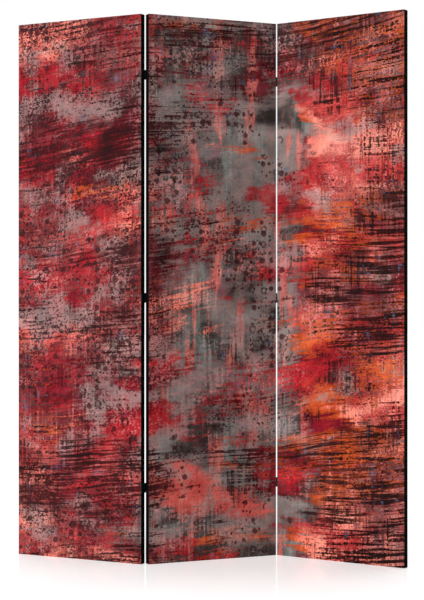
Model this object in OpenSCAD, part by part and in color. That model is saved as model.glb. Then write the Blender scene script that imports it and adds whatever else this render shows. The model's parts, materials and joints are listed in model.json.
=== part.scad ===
// Folding screen of three canvas panels.
// Each panel is a printed canvas stretched over a wooden frame, with a cloth back.
// Three two-way hinges join the panels at each fold, so each panel folds either way.
// The origin is the middle of the underside of the middle panel.
// X runs along the middle panel, Y from its print to its back, and Z up.
// Sizes are in millimetres.

/* [Panels] */
// Width of each panel
panel_w = 450; // [300:5:600]
// Height of each panel
panel_h = 1720; // [1200:10:2000]
// Depth of each panel, from the print to the outside of the back cloth
panel_t = 25; // [20:0.5:40]

/* [How the screen stands] */
// Turn of the left panel to the back, from straight
fold_left = 51.2; // [0:0.1:180]
// Turn of the right panel to the front, from straight
fold_right = 58.4; // [0:0.1:180]

/* [Wooden frame] */
// Width of the stiles
stile_w = 40; // [34:1:60]
// Width of the top and bottom rails
rail_w = 40; // [30:1:60]
// Width of the cross rails
cross_w = 40; // [30:1:60]
// Width of the raised rim that carries the canvas
rim_w = 6; // [3:0.5:12]
// Height of the rim above the rest of the timber
rim_rise = 2; // [1:0.25:4]
// Thickness of the tenons on the rails
tenon_t = 8; // [5:0.5:10]
// Length of the tenons
tenon_l = 24; // [14:1:26]
// Step between the edge of a rail and its tenon
tenon_step = 8; // [4:0.5:12]
// Room for glue round a tenon
glue_gap = 0.1; // [0.05:0.05:0.3]

/* [Canvas and back cloth] */
// Thickness of the canvas
canvas_t = 0.6; // [0.4:0.1:1]
// Width of the canvas turned over at the back
canvas_turn = 30; // [20:1:34]
// Radius of the upright edges of a panel
edge_r = 0.8; // [0.6:0.1:1.5]
// Thickness of the back cloth
cloth_t = 0.5; // [0.3:0.1:1]
// Strip at the back that the cloth leaves bare
cloth_inset = 5; // [2:0.5:12]

/* [Staples] */
// Length of a staple's crown
staple_w = 12; // [8:0.5:14]
// Length of a staple's legs
staple_leg = 7; // [5:0.5:10]
// Thickness of the wire
wire_t = 0.5; // [0.4:0.05:0.55]
// Width of the wire
wire_w = 1.2; // [0.8:0.1:1.6]
// Distance of the staples from the edge of the panel
staple_edge = 14; // [10:0.5:18]
// Longest distance from staple to staple
staple_pitch = 95; // [60:5:150]

/* [Hinges] */
// Space between two panels that stand in a straight line
hinge_gap = 2.8; // [2.7:0.1:4]
// Height of a hinge
hinge_h = 30; // [26:1:50]
// Height of the lowest hinge above the floor, to its middle
hinge_low = 237; // [80:1:320]
// Height of the middle hinge as a share of the panel's height
hinge_mid_share = 0.484; // [0.42:0.002:0.6]
// Distance of the highest hinge from the top, to its middle
hinge_high = 188; // [80:1:320]
// Thickness of the leaves
leaf_t = 0.8; // [0.65:0.05:0.85]
// Radius of a leaf's free corners
leaf_corner = 3; // [1:0.25:5]
// Diameter of the knuckles
knuckle_d = 3; // [2.8:0.05:3.3]
// Diameter of the pins
pin_d = 1.4; // [1.2:0.05:1.8]
// Height of the pin's axis above the face of the panel
pin_out = 0.6; // [0.6:0.1:2]
// Running clearance round a pin, on the radius
pin_clear = 0.05; // [0.02:0.01:0.1]
// Space above and below the knuckles that turn
knuckle_gap = 0.3; // [0.2:0.05:0.6]
// Space between a leaf and what turns past its end
turn_gap = 0.8; // [0.5:0.05:1.5]
// Diameter of a pin's heads
pin_head_d = 2.4; // [2:0.1:2.8]
// Thickness of a pin's heads
pin_head_t = 0.6; // [0.4:0.1:1]

/* [Hinge screws] */
// Diameter of the screws
screw_d = 2.5; // [2.2:0.1:2.6]
// Diameter of the countersunk heads
screw_head_d = 4; // [3.8:0.1:4]
// Length of the screws
screw_l = 14; // [10:0.5:15]
// Distance between the two screws of a leaf
screw_pitch = 16; // [14:0.5:18]
// Clearance round a screw in the leaf and the canvas, on the radius
screw_clear = 0.15; // [0.05:0.05:0.3]
// Bite of the screw's thread into the timber, on the radius
screw_bite = 0.2; // [0:0.05:0.4]
// Length of the screw's point
screw_point = 3; // [2:0.5:4]
// Length of a bar of the cross recess
recess_l = 2.2; // [1.8:0.1:2.4]
// Width of a bar of the cross recess
recess_w = 0.5; // [0.35:0.05:0.7]
// Depth of the cross recess
recess_depth = 0.7; // [0.4:0.05:0.75]

/* [Hidden] */
$fn = 48;
// Overshoot of the cutting shapes
over = 1;

// Outside of the wooden frame
frame_w = panel_w - 2 * canvas_t;
frame_h = panel_h - 2 * canvas_t;
frame_y = -panel_t / 2 + canvas_t;
frame_t = panel_t - 2 * canvas_t - cloth_t;
between_stiles = frame_w - 2 * stile_w;

// Heights of the rails, to their middle
bottom_z = canvas_t + rail_w / 2;
top_z = panel_h - canvas_t - rail_w / 2;
lower_z = panel_h / 3;
upper_z = 2 * panel_h / 3;

// Distances of the folds from the middle of a panel, and of the pins from mid-depth
fold_x = (panel_w + hinge_gap) / 2;
pin_y = panel_t / 2 + pin_out;
pin_r = pin_d / 2;
knuckle_r = knuckle_d / 2;
knuckle_h = hinge_h / 3;
leaf_end = pin_y - knuckle_r - turn_gap;
hinge_zs = [hinge_low, panel_h * hinge_mid_share, panel_h - hinge_high];

screw_r = screw_d / 2;
head_r = screw_head_d / 2;
screw_zs = [-screw_pitch / 2, screw_pitch / 2];

// Colours for the preview
print_colour = [0.62, 0.35, 0.30];
wood_colour = [0.80, 0.66, 0.46];
cloth_colour = [0.08, 0.08, 0.09];
hinge_colour = [0.12, 0.12, 0.13];
steel_colour = [0.62, 0.63, 0.65];

// Placing

// Turns what stands at the left of the left fold about its back pin
module folded_left() {
    translate([-fold_x, pin_y, 0])
        rotate([0, 0, -fold_left])
            translate([fold_x, -pin_y, 0])
                children();
}

// Turns what stands at the right of the right fold about its front pin
module folded_right() {
    translate([fold_x, -pin_y, 0])
        rotate([0, 0, -fold_right])
            translate([-fold_x, pin_y, 0])
                children();
}

// Places a panel beside the left fold
module at_left() {
    folded_left()
        translate([-2 * fold_x, 0, 0])
            children();
}

// Places a panel beside the right fold
module at_right() {
    folded_right()
        translate([2 * fold_x, 0, 0])
            children();
}

// Places a hinge piece in a fold, at the height of one of the three hinges
module in_fold(side, z) {
    translate([side * fold_x, 0, z])
        children();
}

// Wooden frame of one panel

// A block that is centred on X and Z, and runs from y by its thickness
module block(size, x, y, z) {
    translate([x - size[0] / 2, y, z - size[2] / 2])
        cube(size);
}

// The space behind the canvas, inside the rim
module rim_space() {
    size = [frame_w - 2 * rim_w, rim_rise + over, frame_h - 2 * rim_w];
    block(size, 0, frame_y - over, panel_h / 2);
}

// A tenon at one end of a rail, or with a gap the mortise for it
module tenon(side, z, w, gap) {
    size = [tenon_l + gap, tenon_t + 2 * gap, w - 2 * tenon_step + 2 * gap];
    x = side * (between_stiles + size[0]) / 2;
    block(size, x, frame_y + (frame_t - size[1]) / 2, z);
}

// The pilot holes for the hinge screws, or the holes that they pass through
module screw_holes(side, r) {
    for (z = hinge_zs, dz = screw_zs)
        translate([side * panel_w / 2, 0, z + dz])
            rotate([0, -90 * side, 0])
                cylinder(r = r, h = screw_l - leaf_t);
}

module stile(side, hinged) {
    difference() {
        block([stile_w, frame_t, frame_h], side * (frame_w - stile_w) / 2, frame_y, panel_h / 2);
        rim_space();
        tenon(side, bottom_z, rail_w, glue_gap);
        tenon(side, lower_z, cross_w, glue_gap);
        tenon(side, upper_z, cross_w, glue_gap);
        tenon(side, top_z, rail_w, glue_gap);
        if (hinged)
            screw_holes(side, screw_r - screw_bite);
    }
}

module rail(z, w) {
    difference() {
        union() {
            block([between_stiles, frame_t, w], 0, frame_y, z);
            tenon(-1, z, w, 0);
            tenon(1, z, w, 0);
        }
        rim_space();
    }
}

// Cloth of one panel

// An upright box with its four long edges rounded
module rounded_box(w, t, h, r) {
    linear_extrude(height = h) {
        square([w - 2 * r, t], center = true);
        square([w, t - 2 * r], center = true);
        for (x = [-1, 1], y = [-1, 1])
            translate([x * (w / 2 - r), y * (t / 2 - r)])
                circle(r = r);
    }
}

// The canvas covers the front and all four sides, and turns over at the back
module canvas(hinged_left, hinged_right) {
    wrapped_t = panel_t - cloth_t;
    open_size = [frame_w - 2 * canvas_turn, canvas_t + 2 * over, frame_h - 2 * canvas_turn];
    difference() {
        translate([0, -cloth_t / 2, 0])
            rounded_box(panel_w, wrapped_t, panel_h, edge_r);
        block([frame_w, frame_t, frame_h], 0, frame_y, panel_h / 2);
        block(open_size, 0, frame_y + frame_t - over, panel_h / 2);
        if (hinged_left)
            screw_holes(-1, screw_r + screw_clear);
        if (hinged_right)
            screw_holes(1, screw_r + screw_clear);
    }
}

module back_cloth() {
    size = [panel_w - 2 * cloth_inset, cloth_t, panel_h - 2 * cloth_inset];
    block(size, 0, panel_t / 2 - cloth_t, panel_h / 2);
}

// Staples of one panel

// A staple whose crown lies along X, with its legs towards the front
module staple() {
    block([staple_w, wire_t, wire_w], 0, panel_t / 2, 0);
    for (side = [-1, 1])
        block([wire_t, staple_leg, wire_w], side * (staple_w - wire_t) / 2, panel_t / 2 - staple_leg, 0);
}

// A row of staples at equal distances, centred on z = 0 and running up
module staple_column(length) {
    gaps = ceil(length / staple_pitch);
    for (i = [0 : gaps])
        translate([0, 0, length * (i / gaps - 1 / 2)])
            rotate([0, 90, 0])
                staple();
}

// A row of staples at equal distances, centred on x = 0
module staple_row(length) {
    gaps = ceil(length / staple_pitch);
    for (i = [0 : gaps])
        translate([length * (i / gaps - 1 / 2), 0, 0])
            staple();
}

// The rows stop short of the corners by twice the distance from the edge
module staples() {
    for (side = [-1, 1]) {
        translate([side * (panel_w / 2 - staple_edge), 0, panel_h / 2])
            staple_column(panel_h - 4 * staple_edge);
        translate([0, 0, panel_h / 2 + side * (panel_h / 2 - staple_edge)])
            staple_row(panel_w - 4 * staple_edge);
    }
}

// Hinge
// A hinge has two outer leaves, each with its own pin, and a loose leaf that links the pins.
// The left leaf turns on the front pin, and the right leaf on the back pin.

// Upright cylinder on the axis of the front pin
module on_front_pin(r, h) {
    translate([0, -pin_y, 0])
        cylinder(r = r, h = h, center = true);
}

// The flat of an outer leaf, with its two free corners rounded
module leaf_flat() {
    translate([-hinge_gap / 2, 0, 0])
        rotate([90, 0, 90])
            linear_extrude(height = leaf_t) {
                translate([-pin_y, -hinge_h / 2])
                    square([pin_y + leaf_end - leaf_corner, hinge_h]);
                translate([0, leaf_corner - hinge_h / 2])
                    square([leaf_end, hinge_h - 2 * leaf_corner]);
                for (up = [-1, 1])
                    translate([leaf_end - leaf_corner, up * (hinge_h / 2 - leaf_corner)])
                        circle(r = leaf_corner);
            }
}

// The outer leaf of the front pin, on the edge of the panel at the left of the fold
module front_leaf() {
    room = knuckle_h + 2 * knuckle_gap;
    reach = knuckle_r + knuckle_gap;
    difference() {
        union() {
            leaf_flat();
            on_front_pin(knuckle_r, hinge_h);
        }
        translate([-hinge_gap, -pin_y - reach, -room / 2])
            cube([2 * hinge_gap, 2 * reach, room]);
        on_front_pin(pin_r, hinge_h + 2 * over);
        for (z = screw_zs)
            translate([-hinge_gap / 2, 0, z])
                rotate([0, 90, 0])
                    screw_seat();
    }
}

// The hole for a screw, with its countersink on the far side of the leaf
module screw_seat() {
    head_h = head_r - screw_r;
    translate([0, 0, -over])
        cylinder(r = screw_r + screw_clear, h = leaf_t + 2 * over);
    translate([0, 0, leaf_t - head_h])
        cylinder(r1 = screw_r, r2 = head_r, h = head_h);
    translate([0, 0, leaf_t])
        cylinder(r = head_r, h = over);
}

// The outer leaf of the back pin is the same leaf, turned half round
module back_leaf() {
    rotate([0, 0, 180])
        front_leaf();
}

// The loose leaf between the two pins
module link() {
    reach = knuckle_r + knuckle_gap;
    difference() {
        union() {
            translate([-leaf_t / 2, -pin_y, -hinge_h / 2])
                cube([leaf_t, 2 * pin_y, hinge_h]);
            on_front_pin(knuckle_r, knuckle_h);
            rotate([0, 0, 180])
                on_front_pin(knuckle_r, knuckle_h);
        }
        for (turn = [0, 180])
            rotate([0, 0, turn]) {
                on_front_pin(pin_r + pin_clear, hinge_h + 2 * over);
                for (up = [-1, 1])
                    translate([-hinge_gap / 2, -pin_y - reach, up * knuckle_h - knuckle_h / 2])
                        translate([0, 0, (up - 1) * over / 2])
                            cube([hinge_gap, 2 * reach, knuckle_h + over]);
            }
    }
}

// A pin with a head at each end
module front_pin() {
    on_front_pin(pin_r, hinge_h);
    for (up = [-1, 1])
        translate([0, 0, up * (hinge_h + pin_head_t) / 2])
            on_front_pin(pin_head_d / 2, pin_head_t);
}

module front_pins(side) {
    for (z = hinge_zs)
        in_fold(side, z)
            front_pin();
}

module back_pins(side) {
    for (z = hinge_zs)
        in_fold(side, z)
            rotate([0, 0, 180])
                front_pin();
}

// A screw of the front leaf, with its head flush with the leaf
module front_screw() {
    head_h = head_r - screw_r;
    shank_l = screw_l - head_h - screw_point;
    translate([-hinge_gap / 2 + leaf_t, 0, 0])
        rotate([0, -90, 0])
            difference() {
                union() {
                    cylinder(r1 = head_r, r2 = screw_r, h = head_h);
                    translate([0, 0, head_h])
                        cylinder(r = screw_r, h = shank_l);
                    translate([0, 0, head_h + shank_l])
                        cylinder(r1 = screw_r, r2 = 0, h = screw_point);
                }
                cube([recess_l, recess_w, 2 * recess_depth], center = true);
                cube([recess_w, recess_l, 2 * recess_depth], center = true);
            }
}

module front_screws(side) {
    for (z = hinge_zs, dz = screw_zs)
        in_fold(side, z + dz)
            front_screw();
}

module back_screws(side) {
    for (z = hinge_zs, dz = screw_zs)
        in_fold(side, z + dz)
            rotate([0, 0, 180])
                front_screw();
}

// Left panel
module left_canvas() { color(print_colour) at_left() canvas(false, true); }
module left_back_cloth() { color(cloth_colour) at_left() back_cloth(); }
module left_stile_outer() { color(wood_colour) at_left() stile(-1, false); }
module left_stile_hinged() { color(wood_colour) at_left() stile(1, true); }
module left_rail_top() { color(wood_colour) at_left() rail(top_z, rail_w); }
module left_rail_bottom() { color(wood_colour) at_left() rail(bottom_z, rail_w); }
module left_cross_upper() { color(wood_colour) at_left() rail(upper_z, cross_w); }
module left_cross_lower() { color(wood_colour) at_left() rail(lower_z, cross_w); }
module left_staples() { color(steel_colour) at_left() staples(); }

// Middle panel
module middle_canvas() { color(print_colour) canvas(true, true); }
module middle_back_cloth() { color(cloth_colour) back_cloth(); }
module middle_stile_left() { color(wood_colour) stile(-1, true); }
module middle_stile_right() { color(wood_colour) stile(1, true); }
module middle_rail_top() { color(wood_colour) rail(top_z, rail_w); }
module middle_rail_bottom() { color(wood_colour) rail(bottom_z, rail_w); }
module middle_cross_upper() { color(wood_colour) rail(upper_z, cross_w); }
module middle_cross_lower() { color(wood_colour) rail(lower_z, cross_w); }
module middle_staples() { color(steel_colour) staples(); }

// Right panel
module right_canvas() { color(print_colour) at_right() canvas(true, false); }
module right_back_cloth() { color(cloth_colour) at_right() back_cloth(); }
module right_stile_hinged() { color(wood_colour) at_right() stile(-1, true); }
module right_stile_outer() { color(wood_colour) at_right() stile(1, false); }
module right_rail_top() { color(wood_colour) at_right() rail(top_z, rail_w); }
module right_rail_bottom() { color(wood_colour) at_right() rail(bottom_z, rail_w); }
module right_cross_upper() { color(wood_colour) at_right() rail(upper_z, cross_w); }
module right_cross_lower() { color(wood_colour) at_right() rail(lower_z, cross_w); }
module right_staples() { color(steel_colour) at_right() staples(); }

// Hinges of the left fold: the front leaf and the link stay in line with the left panel
module left_front(i) { color(hinge_colour) folded_left() in_fold(-1, hinge_zs[i]) front_leaf(); }
module left_link(i) { color(hinge_colour) folded_left() in_fold(-1, hinge_zs[i]) link(); }
module left_back(i) { color(hinge_colour) in_fold(-1, hinge_zs[i]) back_leaf(); }
module left_hinge_low_front_leaf() { left_front(0); }
module left_hinge_low_link() { left_link(0); }
module left_hinge_low_back_leaf() { left_back(0); }
module left_hinge_mid_front_leaf() { left_front(1); }
module left_hinge_mid_link() { left_link(1); }
module left_hinge_mid_back_leaf() { left_back(1); }
module left_hinge_high_front_leaf() { left_front(2); }
module left_hinge_high_link() { left_link(2); }
module left_hinge_high_back_leaf() { left_back(2); }
module left_hinge_front_pins() { color(steel_colour) folded_left() front_pins(-1); }
module left_hinge_back_pins() { color(steel_colour) back_pins(-1); }
module left_hinge_front_screws() { color(steel_colour) folded_left() front_screws(-1); }
module left_hinge_back_screws() { color(steel_colour) back_screws(-1); }

// Hinges of the right fold: the back leaf and the link stay in line with the right panel
module right_front(i) { color(hinge_colour) in_fold(1, hinge_zs[i]) front_leaf(); }
module right_link(i) { color(hinge_colour) folded_right() in_fold(1, hinge_zs[i]) link(); }
module right_back(i) { color(hinge_colour) folded_right() in_fold(1, hinge_zs[i]) back_leaf(); }
module right_hinge_low_front_leaf() { right_front(0); }
module right_hinge_low_link() { right_link(0); }
module right_hinge_low_back_leaf() { right_back(0); }
module right_hinge_mid_front_leaf() { right_front(1); }
module right_hinge_mid_link() { right_link(1); }
module right_hinge_mid_back_leaf() { right_back(1); }
module right_hinge_high_front_leaf() { right_front(2); }
module right_hinge_high_link() { right_link(2); }
module right_hinge_high_back_leaf() { right_back(2); }
module right_hinge_front_pins() { color(steel_colour) front_pins(1); }
module right_hinge_back_pins() { color(steel_colour) folded_right() back_pins(1); }
module right_hinge_front_screws() { color(steel_colour) front_screws(1); }
module right_hinge_back_screws() { color(steel_colour) folded_right() back_screws(1); }

left_canvas();
left_back_cloth();
left_stile_outer();
left_stile_hinged();
left_rail_top();
left_rail_bottom();
left_cross_upper();
left_cross_lower();
left_staples();
middle_canvas();
middle_back_cloth();
middle_stile_left();
middle_stile_right();
middle_rail_top();
middle_rail_bottom();
middle_cross_upper();
middle_cross_lower();
middle_staples();
right_canvas();
right_back_cloth();
right_stile_hinged();
right_stile_outer();
right_rail_top();
right_rail_bottom();
right_cross_upper();
right_cross_lower();
right_staples();
left_hinge_low_front_leaf();
left_hinge_low_link();
left_hinge_low_back_leaf();
left_hinge_mid_front_leaf();
left_hinge_mid_link();
left_hinge_mid_back_leaf();
left_hinge_high_front_leaf();
left_hinge_high_link();
left_hinge_high_back_leaf();
right_hinge_low_front_leaf();
right_hinge_low_link();
right_hinge_low_back_leaf();
right_hinge_mid_front_leaf();
right_hinge_mid_link();
right_hinge_mid_back_leaf();
right_hinge_high_front_leaf();
right_hinge_high_link();
right_hinge_high_back_leaf();
left_hinge_front_pins();
left_hinge_back_pins();
right_hinge_front_pins();
right_hinge_back_pins();
left_hinge_front_screws();
left_hinge_back_screws();
right_hinge_front_screws();
right_hinge_back_screws();
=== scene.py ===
"""Looks of the folding screen: printed canvas panels on wooden frames, with two-way hinges."""

import json
from functools import partial
from math import ceil, copysign, cos, pi, radians, sin

import bmesh
import bpy
from mathutils import Matrix, Vector, noise

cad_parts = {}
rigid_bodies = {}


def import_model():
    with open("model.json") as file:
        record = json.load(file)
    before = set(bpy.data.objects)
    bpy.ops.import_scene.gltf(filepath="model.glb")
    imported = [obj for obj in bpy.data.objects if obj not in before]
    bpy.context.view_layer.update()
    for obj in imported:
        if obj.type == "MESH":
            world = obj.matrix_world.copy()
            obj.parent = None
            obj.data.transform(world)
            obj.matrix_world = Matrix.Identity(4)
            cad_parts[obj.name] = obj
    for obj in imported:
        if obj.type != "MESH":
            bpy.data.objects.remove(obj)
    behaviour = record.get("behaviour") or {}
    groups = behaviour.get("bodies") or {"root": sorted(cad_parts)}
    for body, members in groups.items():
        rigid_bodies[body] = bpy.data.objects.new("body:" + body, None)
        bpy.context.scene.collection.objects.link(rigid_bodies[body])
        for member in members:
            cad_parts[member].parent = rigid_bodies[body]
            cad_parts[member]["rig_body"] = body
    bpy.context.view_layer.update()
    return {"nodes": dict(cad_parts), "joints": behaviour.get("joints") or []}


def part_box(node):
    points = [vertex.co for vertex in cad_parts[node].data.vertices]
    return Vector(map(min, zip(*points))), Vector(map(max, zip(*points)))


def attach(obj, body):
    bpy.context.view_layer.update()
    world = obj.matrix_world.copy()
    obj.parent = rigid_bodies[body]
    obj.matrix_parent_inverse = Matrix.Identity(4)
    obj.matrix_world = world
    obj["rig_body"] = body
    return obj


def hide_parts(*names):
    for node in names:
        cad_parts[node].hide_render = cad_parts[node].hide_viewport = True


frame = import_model()
MM = 0.001

# The panel's own box, with its origin under the middle of the panel: X across, -Y the print
LOW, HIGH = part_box("middle_canvas")
PANEL_W, PANEL_H = HIGH.x - LOW.x, HIGH.z
CLOTH_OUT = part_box("middle_back_cloth")[1].y
PANELS = ("left", "middle", "right")
# A length too small to count, and the distance within which points are one
HAIR, WELD = 1e-9, 0.001 * MM
# Faces that meet at more than this, in degrees, have a sharp edge between them
CREASE, CLOTH_CREASE, HINGE_CREASE = 35, 60, 25

# Canvas. Its threads are drawn 1.1 mm apart, twice as coarse as they are, so that they show
CANVAS_T, CANVAS_TURN, CANVAS_R, CANVAS_PITCH = 0.6 * MM, 30 * MM, 0.9 * MM, 1.1 * MM
CANVAS_GRID_X, CANVAS_GRID_Z, CANVAS_SEED = 12 * MM, 14 * MM, 3.7
# A rounded edge has points at these shares of its radius, and a side has this many steps
CANVAS_ROUND, SIDE_STEPS = (0, 0.35, 0.7), 16
# Inside the rims the tight cloth dips over a span, with low waves in it
RIM_W, DISH, DISH_SPAN, WAVE, WAVE_L = 6 * MM, 0.7 * MM, 90 * MM, 0.12 * MM, 140 * MM
# A folded corner ends in a step that fades along the fold. It rises behind the front edge,
# sinks to a share of itself at the back edge, and rises again on the strip turned over there
FOLD_STEP, FOLD_FADE = 0.35 * MM, 24 * MM
FOLD_RISE, FOLD_SINK, FOLD_SHARE, FOLD_BACK = 6 * MM, 2 * MM, 0.4, 3 * MM
# Back cloth. Its threads are 0.3 mm apart, and are drawn three times as coarse
CLOTH_T, CLOTH_INSET, CLOTH_PITCH = 0.5 * MM, 5 * MM, 0.9 * MM
CLOTH_GRID, CLOTH_EDGE = 8 * MM, [e * MM for e in (0, 0.4, 1.2, 3, 6, 10, 15, 20)]
# It leans in behind the turned canvas, and sags unevenly between the timbers
TIMBER_W, CLOTH_LEAN, LEAN_SPAN, CLOTH_SAG, SAG_SPAN = 40 * MM, 0.5 * MM, 5 * MM, 2.2 * MM, 80 * MM
CLOTH_SEED, UNEVEN, UNEVEN_W, UNEVEN_H = 11.3, 0.35, 110 * MM, 210 * MM
# Between two staples its edge draws in and lifts, and this reaches some way from the edge
DRAWN_IN, LIFTED, DRAWN_REACH = 0.9 * MM, 0.35 * MM, 12 * MM
# Staples. Each is up to the tilt, in degrees, and up to the shift out of line, and a row is
# shorter than the panel by four times the staples' distance from the edge
STAPLE_EDGE, STAPLE_PITCH, STAPLE_TILT, STAPLE_SHIFT, ROW_ENDS = 14 * MM, 95 * MM, 4, 0.5 * MM, 4
CROWN_W, LEG_L, WIRE_T, WIRE_W, WIRE_BEND = 12 * MM, 7 * MM, 0.5 * MM, 1.2 * MM, 0.8 * MM
WIRE_EDGE, BEND_STEPS = 0.3, 4
# Hinges. Their sharp edges, by the angle in degrees, are rounded in two steps
HINGE_GAP, LEAF_T, LEAF_EDGE, PIN_EDGE = 2.8 * MM, 0.8 * MM, 0.12 * MM, 0.2 * MM
FLAT_ANGLE, SHARP_ANGLE, EDGE_STEPS, EDGE_ROUND = 0.5, 40, 2, 0.6
# Screws. The thread starts shallow, and the point is blunt
SCREW_R, HEAD_R, HEAD_EDGE, HEAD_RIM, SCREW_SIDES = 1.25 * MM, 2 * MM, 0.15 * MM, 0.12 * MM, 24
SCREW_L, SCREW_PLAIN, SCREW_POINT, SCREW_SPACING = 14 * MM, 2 * MM, 3 * MM, 16 * MM
THREAD_PITCH, THREAD_DEPTH, THREAD_STEPS, THREAD_START = 1.1 * MM, 0.35 * MM, 8, 6
CREST_SLOPE, CREST_END, BLUNT, TIP_R = 4, 1.5, 0.15 * MM, 0.04 * MM
RECESS_L, RECESS_W, RECESS_DEPTH, RECESS_TAPER = 2.2 * MM, 0.5 * MM, 0.7 * MM, 0.55


# Small tools

def smooth(x):
    """0 below 0, 1 above 1, and a soft step between."""
    x = min(max(x, 0.0), 1.0)
    return x * x * (3 - 2 * x)


def spaced(start, end, step):
    """Positions from start to end at equal distances of about a step."""
    parts = max(1, round(abs(end - start) / step))
    return [start + (end - start) * i / parts for i in range(parts + 1)]


def fine_ends(start, end, edge, step):
    """Positions from start to end. Their distances from both are those in the edge list first,
    and after them they are about a step apart."""
    between = spaced(start + edge[-1], end - edge[-1], step)[1:-1]
    return [start + e for e in edge] + between + [end - e for e in reversed(edge)]


def mirrored(start, edge, step):
    """The same from start to its mirror image about 0, with a position at 0."""
    half = [start + e for e in edge] + spaced(start + edge[-1], 0, step)
    return sorted({round(x, 7) for x in half} | {round(-x, 7) for x in half})


def new_object(name, data):
    made = bpy.data.objects.new(name, data)
    bpy.context.scene.collection.objects.link(made)
    return made


def new_mesh(name, shape, *materials):
    """The mesh of a shape, which is used up, with its materials."""
    mesh = bpy.data.meshes.new(name)
    shape.to_mesh(mesh)
    shape.free()
    for material in materials:
        mesh.materials.append(material)
    return mesh


def flattened(piece):
    """The piece with its modifiers made part of its mesh."""
    graph = bpy.context.evaluated_depsgraph_get()
    mesh = bpy.data.meshes.new_from_object(
        piece.evaluated_get(graph), preserve_all_data_layers=True, depsgraph=graph)
    piece.modifiers.clear()
    piece.data = mesh
    return piece


def shade(mesh, crease):
    """Smooth faces, with a sharp edge where they meet at more than the crease angle."""
    shape = bmesh.new()
    shape.from_mesh(mesh)
    for face in shape.faces:
        face.smooth = True
    for edge in shape.edges:
        edge.smooth = len(edge.link_faces) != 2 or edge.calc_face_angle() < radians(crease)
    shape.to_mesh(mesh)
    shape.free()


def handed_over(piece, body, nodes, place=Matrix.Identity(4), crease=CREASE):
    """Puts a piece in its place and shades it, fixes it to the body it rides on, and hides the
    parts it stands for.
    """
    piece.data.transform(place)
    shade(piece.data, crease)
    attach(piece, body)
    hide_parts(*nodes)
    return piece


def linear(colour):
    """The linear values of an sRGB hex colour."""
    values = [int(colour[i:i + 2], 16) / 255 for i in (1, 3, 5)]
    return [v / 12.92 if v <= 0.04045 else ((v + 0.055) / 1.055) ** 2.4 for v in values] + [1.0]


def add_node(tree, kind, inputs=(), operation=None, **settings):
    """Adds a node, a shader node if its kind doesn't say. The inputs are a list, or go by name
    or number, and From and To stand for the two ends of a range. Each is a value, a hex colour,
    a socket to link from, or a node, whose first socket in use is linked. In a mix, input 0 is
    the share, and 2 and 3, or 6 and 7, are what is mixed."""
    made = tree.nodes.new(kind if "Node" in kind else "ShaderNode" + kind)
    if operation:
        made.operation = operation
    for name, value in settings.items():
        setattr(made, name, value)
    inputs = dict(inputs if isinstance(inputs, dict) else enumerate(inputs))
    for span in ("From", "To"):
        if span in inputs:
            inputs[span + " Min"], inputs[span + " Max"] = inputs.pop(span)
    for key, value in inputs.items():
        if isinstance(value, bpy.types.Node):
            value = next(socket for socket in value.outputs if socket.enabled)
        if isinstance(value, bpy.types.NodeSocket):
            tree.links.new(value, made.inputs[key])
        else:
            made.inputs[key].default_value = linear(value) if isinstance(value, str) else value
    return made


def new_group(name, kind, result, **inputs):
    """A node group with one result, and inputs listed by kind. Gives its tree, the way to add
    nodes to it, and its inputs."""
    tree = bpy.data.node_groups.new(name, kind + "NodeTree")
    tree.interface.new_socket(result, in_out="OUTPUT", socket_type="NodeSocket" + result)
    for socket, labels in inputs.items():
        for label in labels.split():
            tree.interface.new_socket(label, in_out="INPUT", socket_type="NodeSocket" + socket)
    return tree, partial(add_node, tree), tree.nodes.new("NodeGroupInput").outputs


def ended(tree, geometry, material):
    """Ends a Geometry Nodes tree with plain faces that wear the material."""
    real = add_node(tree, "GeometryNodeRealizeInstances", {"Geometry": geometry})
    worn = add_node(tree, "GeometryNodeSetMaterial", {"Geometry": real, "Material": material})
    add_node(tree, "NodeGroupOutput", [worn])
    return tree


def made_by(tree, name, mesh, **values):
    """The plain piece that a tree makes on a mesh, with its inputs set by their identifiers."""
    piece = new_object(name, mesh)
    modifier = piece.modifiers.new(tree.name, "NODES")
    modifier.node_group = tree
    for item in tree.interface.items_tree:
        if item.in_out == "INPUT" and item.name in values:
            modifier[item.identifier] = values[item.name]
    return flattened(piece)


# Where the panels stand

def panel_places():
    """Each panel's place, from the pins and the rest angles of the frame's joints."""
    joints = {j["name"]: j for j in frame["joints"]}
    places = {"middle": Matrix.Identity(4)}
    for side, sign, name in (("left", -1, "left_fold_back"), ("right", 1, "right_fold_front")):
        pin = Vector(joints[name]["pos_m"])
        turn = Matrix.Rotation(radians(joints[name]["range_deg"][0]), 4, "Z")
        places["fold_" + side] = Matrix.Translation(pin) @ turn @ Matrix.Translation(-pin)
        along = Matrix.Translation((sign * 2 * abs(pin.x), 0, 0))
        places[side] = places["fold_" + side] @ along
    return places


PLACES = panel_places()
FOLD_X = HIGH.x + HINGE_GAP / 2


# Canvas and back cloth

def soften(p):
    """A point of the panel's box, moved to the box with rounded edges, and the way out there."""
    core = Vector([min(max(c, l + CANVAS_R), h - CANVAS_R) for c, l, h in zip(p, LOW, HIGH)])
    out = (p - core).normalized()
    return core + CANVAS_R * out, out


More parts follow.
